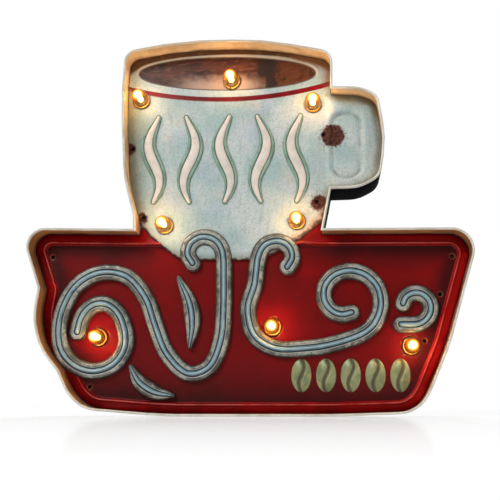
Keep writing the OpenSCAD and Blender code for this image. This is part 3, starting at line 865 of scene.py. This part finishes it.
def strip(node, paints):
    """A strip of the rim, with its rolled front hem and its back flange."""
    outside, within = paired(outlines(node, front)[0], 0)
    swing = np.unwrap(np.arctan2(*(outside - A_MIDDLE).T[::-1]))
    if swing[-1] < swing[0]:
        outside, within = outside[::-1], within[::-1]
    if area(np.vstack([outside, within[::-1]])) < 0:
        outside, within = within, outside
    inward = (within - outside) / HEM
    profile = [(t, front + y, ON_HEM) for t, y in hem_profile]
    profile[-1] = (*profile[-1][:2], INSIDE)
    profile += [(t, back - y, slot) for t, y, slot in flange_profile]
    count = len(profile)
    verts = [
        (p[0] + d[0] * t, y, p[1] + d[1] * t)
        for p, d in zip(outside, inward) for t, y, _ in profile]
    faces, slots = [], []
    for k in range(len(outside) - 1):
        one, two = k * count, (k + 1) * count
        for j in range(count):
            n = (j + 1) % count
            faces.append((one + j, one + n, two + n, two + j))
            slots.append(profile[j][2])
    last = (len(outside) - 1) * count
    faces += [tuple(range(count)), tuple(last + j for j in reversed(range(count)))]
    slots += [ON_HEM, ON_HEM]
    made = piece(node.replace("rim_", "rim_strip_"), verts, faces, paints, slots, sharp=38)
    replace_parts(made, node)


rim_slots = rim_paints()
for name in ("rim_banner", "rim_waist", "rim_handle", "rim_mug"):
    strip(name, rim_slots)


# ---- Face sheets ----

tin = galvanised("bare tin")


# the punched funnel of a nail hole: (distance out from the hole's edge, depth)
funnel = [(1.7, 0), (1.1, 0.08), (0.6, 0.3), (0, 0.9), (-0.35, 1.8), (-0.8, 2.5)]
FUNNEL_END = (0.08, 3.0)  # radius and depth of the funnel's end


def dimple(hole, y):
    """The end of a nail hole's funnel and the rings of its wall, for a hole's outline."""
    x, z, r = hole_at(hole)
    rings = [(circle(x, z, r + out), y + deep) for out, deep in funnel]
    return (circle(x, z, FUNNEL_END[0], 8), y + FUNNEL_END[1]), rings


def cut(loops, y):
    """Holes and dent rings for a sheet's hole outlines."""
    holes, rings = [], []
    for loop in loops:
        if hole_at(loop)[2] < NAIL_LIMIT:
            hole, dents = dimple(loop, y)
            holes.append(hole)
            rings += dents
        else:
            holes.append((loop, None))
    return holes, rings


# the bead along the step from the border down to the field: (distance in, y)
bead = [
    (-3.2, -2.0), (-2.7, -2.1), (-2.2, -2.45), (-1.6, -2.8), (-1.0, -2.9), (-0.4, -2.75),
    (0.05, -2.3), (0.35, -1.6), (0.65, -0.9), (1.0, -0.5), (1.5, -0.4)]


def into_field(points):
    """How far inside the sunk field each point is, negative on the border."""
    return distance(points, field_outline) * np.where(inside(points, field_outline), 1, -1)


def banner_height(points):
    """y of the banner's face, whose field is slightly wavy."""
    waves = 0.12 * np.sin(points[:, 0] / 31) * np.sin(points[:, 1] / 23 + 1)
    wavy = field_y + waves * smoothstep(3, 18, distance(points, field_outline))
    return np.where(inside(points, field_outline), wavy, border_y)


BANNER_STEP = 5.0
TUCK = 0.25  # how far the banner's outer edge turns back
holes, rings = cut(field_holes, field_y)
more_holes, more_rings = cut(border_holes, border_y)
holes += more_holes
rings += more_rings + [(offset(field_outline, t), y) for t, y in bead]
banner = pressed((banner_outline, border_y + TUCK), holes, rings, BANNER_STEP, banner_height)
red_paint = banner_enamel(field_outline[:, 1].min(), field_outline[:, 1].max())
sheet("banner_sheet", banner, [red_paint, tin], "banner_panel",
      {"sunk": into_field})

# the handle's opening, pressed as a dish: middle, half size and corner radius
OPENING = (88.5, 246.5, 13.0, 30.0, 11.0)
BODY_RIGHT = 70.0  # x where the mug's body ends and the handle begins
STRAP_RISE = 2.7  # how far the handle's strap bulges


def from_opening(points):
    """How far each point is outside the rounded rectangle of the handle's opening."""
    cx, cz, half_x, half_z, corner = OPENING
    dx = np.abs(points[:, 0] - cx) - (half_x - corner)
    dz = np.abs(points[:, 1] - cz) - (half_z - corner)
    return np.hypot(np.maximum(dx, 0), np.maximum(dz, 0)) + np.minimum(np.maximum(dx, dz), 0) - corner


def mug_height(points):
    """y of the mug's face: its foot rolls back, and the handle stands out round its opening."""
    x, z = points[:, 0], points[:, 1]
    rim_gap = distance(points, mug_outline)
    roll = 0.7 * (1 - smoothstep(0, 2.6, rim_gap)) * (z < 178)
    d = from_opening(points)
    strap = smoothstep(-0.5, 4.0, d) * smoothstep(0.5, 7, rim_gap)
    strap = strap * smoothstep(BODY_RIGHT - 3, BODY_RIGHT + 8, x)
    dish_lip = np.exp(-((d + 0.4) / 1.6) ** 2) * smoothstep(BODY_RIGHT - 6, BODY_RIGHT + 1, x)
    seam = np.exp(-((x - BODY_RIGHT) / 1.4) ** 2) * (z > 206) * (z < 291)
    return mug_y + roll - STRAP_RISE * strap + 0.5 * dish_lip + 0.35 * seam


MUG_STEP = 1.9
holes, rings = cut(mug_holes, mug_y)
rings += [(offset(mug_outline, 1.0), None)]
mug = pressed((mug_outline, None), holes, rings, MUG_STEP, mug_height)
sheet("mug_sheet", mug, [mug_enamel(), tin], "mug_panel",
      {"opening": from_opening})


# ---- Scrollwork, ribbons and beans ----


def relief_back(points):
    """How deep the back of a raised band goes: into the banner, or into the mug over it."""
    bedding = 0.3
    step_gap = 1.0  # a band goes down into the field this far from the step, and so clears it
    banner_top = np.interp(into_field(points) - step_gap, *zip(*bead))
    return np.where(inside(points, mug_outline), mug_y, banner_top) + bedding


scroll_top = low("scroll_left")[1]
# a tube between two grooves, on a band with raised borders
scroll_profile = [(out, scroll_top + deep) for out, deep in (
    (0.0, 0.0), (0.7, 0.12), (1.3, 0.55), (1.75, 1.3), (2.05, 2.3), (2.4, 2.9), (2.8, 2.2),
    (3.3, 1.7), (4.2, 1.55), (5.2, 1.75), (6.2, 2.3), (7.0, 3.1), (7.4, 4.1), (7.5, 4.8))]
scroll_profile += [(out, None) for out in np.linspace(7.5, 0, 7)]
SCROLL_BEAD_WIDTH = 5.0


def band_piece(name, node, loops, profile, full, paint, base):
    """Raised bands in place of a node, along the centre lines of its beads.

    full is the width of a bead where the profile has its full size.
    """
    parts = []
    for loop in loops:
        line, widths = centre_line(loop)
        parts.append(swell(line, widths / full, profile, base))
    verts, faces, across = joined(parts)
    made = piece(name, verts, faces, [paint], sharp=50, attributes={"across": across})
    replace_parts(made, node)


scroll_paint = scroll_enamel()
for name in ("scroll_left", "scroll_right", "scroll_tail", "scroll_leaves"):
    loops = outlines(name, low(name)[1])
    band_piece(name.replace("scroll", "scroll_band"), name, loops, scroll_profile,
               SCROLL_BEAD_WIDTH, scroll_paint, relief_back)


def ribbon_back(points):
    """A ribbon's back is flat, in the middle of the mug's sheet."""
    return np.full(len(points), mug_y + 0.5)


ribbon_top = low("steam_ribbons")[1]
ribbon_profile = [(out, ribbon_top + deep) for out, deep in (
    (0.0, 0.0), (2.0, 0.05), (3.2, 0.25), (3.9, 0.8), (4.4, 1.5), (4.9, 1.0), (5.5, 0.65),
    (6.4, 0.6), (7.2, 0.9), (7.8, 1.6))]
ribbon_profile += [(8.0, None), (0.0, None)]
RIBBON_BEAD_WIDTH = 8.0
band_piece("steam_band", "steam_ribbons", outlines("steam_ribbons", ribbon_top), ribbon_profile,
           RIBBON_BEAD_WIDTH, ribbon_enamel(), ribbon_back)

bean_loops = outlines("bean_badges", low("bean_badges")[1])
OVAL_AREA = 250  # a loop larger than this is a bean's oval, and not its slit
ovals = [counter_clockwise(l) for l in bean_loops if abs(area(l)) > OVAL_AREA]
slits = [l for l in bean_loops if abs(area(l)) < OVAL_AREA]
BEAN_STEP = 0.9
bean_foot = field_y - 0.5
beans = []
for oval in ovals:
    middle = (oval.min(0) + oval.max(0)) / 2
    slit = min(slits, key=lambda l: np.linalg.norm((l.min(0) + l.max(0)) / 2 - middle))

    def crease_depth(points):
        gap = distance(points, slit) * np.where(inside(points, slit), -1, 1)
        return 1 - smoothstep(-0.4, 2.2, gap)

    def bean_height(points):
        dome = smoothstep(0, 7, distance(points, oval))
        return bean_foot - 2.3 * dome + 1.7 * crease_depth(points) * dome

    rings = [(offset(oval, 0.3), bean_foot)]
    verts, faces, _ = pressed((oval, field_y + 0.05), [], rings, BEAN_STEP, bean_height)
    beans.append((verts, faces, crease_depth(np.array(verts)[:, ::2])))
verts, faces, crease = joined(beans)
made = piece("bean_reliefs", verts, faces, [bean_enamel()], sharp=60, attributes={"crease": crease})
bring_to_front(made)
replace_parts(made, "bean_badges")


# ---- Bulbs ----

brass_paint = brass()
glass_paint = amber_glass()
GLASS = 0.7  # thickness of a globe's wall
LAMP_DEPTH = 4.5  # from a globe's tip to its light
LOWEST_MUG_LAMP = 150.0
MUG_LAMP_POWER = 0.02
BANNER_LAMP_POWER = 0.0225  # more, because the red banner drinks more light than the pale mug
for number in LAMPS:
    collar, globe = f"bulb_collar_{number}", f"bulb_globe_{number}"
    (x0, y0, z0), (x1, y1, z1) = low(collar), high(collar)
    x, z = (x0 + x1) / 2, (z0 + z1) / 2
    ring = [
        (5.4, y1), (5.4, y0 + 0.7), (5.9, y0 + 0.35), (6.5, y0 + 0.6), (6.9, y0 + 0.25), (7.4, y0),
        (7.9, y0 + 0.2), (8.15, y0 + 0.7), (8.0, y0 + 1.2), (8.2, y0 + 1.5), (8.2, y1)]
    made = piece(f"bulb_ring_{number}", *lathe(x, z, ring, 48), [brass_paint], sharp=50)
    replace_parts(made, collar)
    (left, tip, _), (right, base_y, _) = low(globe), high(globe)
    radius = (right - left) / 2
    turns = [math.radians(a) for a in range(0, 91, 9)]
    shell = [(radius * math.sin(a), tip + radius - radius * math.cos(a)) for a in turns]
    thin = radius - GLASS
    shell += [(radius, base_y), (thin, base_y)]
    shell += [(thin * math.sin(a), tip + radius - thin * math.cos(a)) for a in reversed(turns)]
    verts, faces = lathe(x, z, shell, 48)
    gaps = [math.hypot(v[0] - x, v[2] - z) for v in verts]
    made = piece(f"bulb_glass_{number}", verts, faces, [glass_paint], sharp=60,
                 attributes={"axis": gaps})
    made.visible_shadow = False
    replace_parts(made, globe)
    light = bpy.data.lights.new(f"lamp_light_{number}", "POINT")
    light.energy = MUG_LAMP_POWER if z > LOWEST_MUG_LAMP else BANNER_LAMP_POWER
    light.color = (1.0, 0.66, 0.32)
    light.shadow_soft_size = 2.5 * MM
    spot = (x * MM, (tip + LAMP_DEPTH) * MM, z * MM)
    placed(f"lamp_light_{number}", light).location = spot


# ---- The CAD nodes that stay, with their own finishes ----


def finish_node(name, paint, bevel=0.0, sharp=35):
    """Gives a CAD node its material, rounds its edges and smooths its round sides."""
    node = nodes[name]
    mesh = node.data
    mesh.materials.clear()
    mesh.materials.append(paint)
    mesh.polygons.foreach_set("material_index", [0] * len(mesh.polygons))
    weld = node.modifiers.new("join", "WELD")
    weld.merge_threshold = JOIN * MM
    if bevel:
        rounding = node.modifiers.new("edges", "BEVEL")
        rounding.width = bevel * MM
        rounding.segments = 2
        rounding.limit_method = "ANGLE"
        rounding.angle_limit = math.radians(40)
    split = node.modifiers.new("creases", "EDGE_SPLIT")
    split.split_angle = math.radians(sharp)
    mesh.polygons.foreach_set("use_smooth", [True] * len(mesh.polygons))


finish_node("panel_brackets", galvanised("bracket plate", (166, 166, 160)), 0.15)
hanger_plate = galvanised("hanger plate", (172, 172, 168))
for name in ("hanger_left", "hanger_right"):
    finish_node(name, hanger_plate, 0.25)
finish_node("rivets", galvanised("rivet metal", (176, 170, 156), 0.34), 0.25)
finish_node("battery_case", plastic("case plastic", (24, 24, 26)), 0.35)
finish_node("battery_door", plastic("door plastic", (30, 30, 33), 0.48), 0.25)
between_cells = (low("battery_1")[2] + high("battery_2")[2]) / 2
GOLD = 15  # length of a cell's gold end
wrap = cell_wrap(between_cells, low("battery_2")[0] + GOLD, high("battery_1")[0] - GOLD)
for name in ("battery_1", "battery_2"):
    finish_node(name, wrap, 0.3)
contact = galvanised("contact metal", (190, 184, 170), 0.28)
finish_node("contact_springs", contact, sharp=60)
finish_node("contact_plates", contact)
finish_node("switch_body", plastic("switch plastic", (58, 58, 60)), 0.2)
finish_node("switch_slider", plastic("slider plastic", (206, 204, 196)), 0.2)
red = plastic("red insulation", (150, 22, 18), 0.34)
for name in ("wire_mug", "battery_leads"):
    finish_node(name, red, sharp=60)
finish_node("wire_banner", plastic("black insulation", (22, 22, 24), 0.34), sharp=60)
finish_node("cable_clips", plastic("clip plastic", (200, 198, 190)), 0.3)
holder_paint = plastic("holder plastic", (28, 27, 28), 0.5)
glow_paint = lit_epoxy()
for number in LAMPS:
    finish_node(f"lamp_holder_{number}", holder_paint, 0.25)
    finish_node(f"led_{number}", glow_paint)
    nodes[f"led_{number}"].visible_shadow = False
    nodes[f"led_{number}"].visible_diffuse = False


# ---- Floor, light and camera ----


def ranged(tree, source, start, end, first=0.0, last=1.0, kind="LINEAR"):
    """A number that goes from first to last as the source goes from start to end."""
    values = {"From Min": start, "From Max": end, "To Min": first, "To Max": last}
    outputs = linked(
        tree, "ShaderNodeMapRange", source, values=values, interpolation_type=kind)
    return outputs["Result"]


def floor_paint():
    """Nearly white, with a polish in front of the sign, and fading into the white round it."""
    paint = bpy.data.materials.new("floor white")
    paint.use_nodes = True
    tree = paint.node_tree
    tree.nodes.clear()
    glow = linked(tree, "ShaderNodeEmission", values={"Strength": 0.91})[0]
    matt = linked(tree, "ShaderNodeBsdfDiffuse", values={"Color": (0.14, 0.14, 0.14, 1)})[0]
    plain = linked(tree, "ShaderNodeAddShader", glow, matt)[0]
    gloss = linked(tree, "ShaderNodeBsdfGlossy", values={"Roughness": 0.08})[0]
    place = linked(tree, "ShaderNodeTexCoord")["Object"]
    x, y, _ = linked(tree, "ShaderNodeSeparateXYZ", place)
    # the polish is strongest just before the sign's face, and ends there and at the sign's sides
    polish = ranged(tree, y, -0.56, -0.02, 0.0, 0.42)
    before = ranged(tree, y, -0.02, 0.03, 1.0, 0.0)
    side = linked(tree, "ShaderNodeMath", x, operation="ABSOLUTE")[0]
    beside = ranged(tree, side, 0.16, 0.215, 1.0, 0.0)
    for limit in (before, beside):
        polish = linked(tree, "ShaderNodeMath", polish, limit, operation="MULTIPLY")[0]
    reach = linked(tree, "ShaderNodeVectorMath", place, operation="LENGTH")["Value"]
    fade = ranged(tree, reach, 0.5, 1.6, kind="SMOOTHSTEP")
    near_by = linked(tree, "ShaderNodeMixShader", polish, plain, gloss)[0]
    away = linked(tree, "ShaderNodeBsdfTransparent")[0]
    faded = linked(tree, "ShaderNodeMixShader", fade, near_by, away)[0]
    linked(tree, "ShaderNodeOutputMaterial", faded)
    return paint


def floor():
    """A large square just under the sign."""
    mesh = bpy.data.meshes.new("floor")
    half, height = 6.0, -0.0001
    corners = [(half * x, half * y, height) for x, y in ((-1, -1), (1, -1), (1, 1), (-1, 1))]
    mesh.from_pydata(corners, [], [(0, 1, 2, 3)])
    mesh.materials.append(floor_paint())
    placed("floor", mesh)


def softbox(name, place, width, power):
    """A square area light aimed at the sign's middle."""
    light = bpy.data.lights.new(name, "AREA")
    light.shape = "RECTANGLE"
    light.size = light.size_y = width
    light.energy = power
    made = placed(name, light)
    made.location = place
    aim = Vector((0, 0, 0.17)) - Vector(place)
    made.rotation_euler = aim.to_track_quat("-Z", "Y").to_euler()


def studio():
    """A world that looks white, and lights the sign more from behind than from the front."""
    world = bpy.data.worlds.new("studio")
    bpy.context.scene.world = world
    world.use_nodes = True
    tree = world.node_tree
    sky = tree.nodes["Background"]
    preset(sky, {"Color": (1, 1, 1, 1)})
    way = linked(tree, "ShaderNodeTexCoord")["Generated"]
    y = linked(tree, "ShaderNodeSeparateXYZ", way)["Y"]
    level = ranged(tree, y, 0.1, 0.9, 0.22, 1.0, kind="SMOOTHSTEP")
    seen = linked(tree, "ShaderNodeLightPath")["Is Camera Ray"]
    strength = linked(tree, "ShaderNodeMath", level, seen, operation="MAXIMUM")[0]
    tree.links.new(strength, sky.inputs["Strength"])


floor()
studio()
softbox("key", (-0.7, -1.2, 1.1), 0.55, 16)
softbox("fill", (1.2, -1.0, 0.5), 0.9, 3)
softbox("behind", (0.3, 1.4, 0.9), 1.0, 3)

camera = bpy.data.cameras.new("camera")
camera.sensor_width = 36
camera.lens = 56.74
camera.shift_x = -0.088
camera.shift_y = 0.12
camera.clip_start = 0.01
viewpoint = placed("camera", camera)
viewpoint.location = (0.0712, -0.706, 0.0144)
viewpoint.rotation_euler = (math.radians(96.5), 0, math.radians(2.5))
bpy.context.scene.camera = viewpoint
bpy.context.scene.view_settings.view_transform = "Standard"
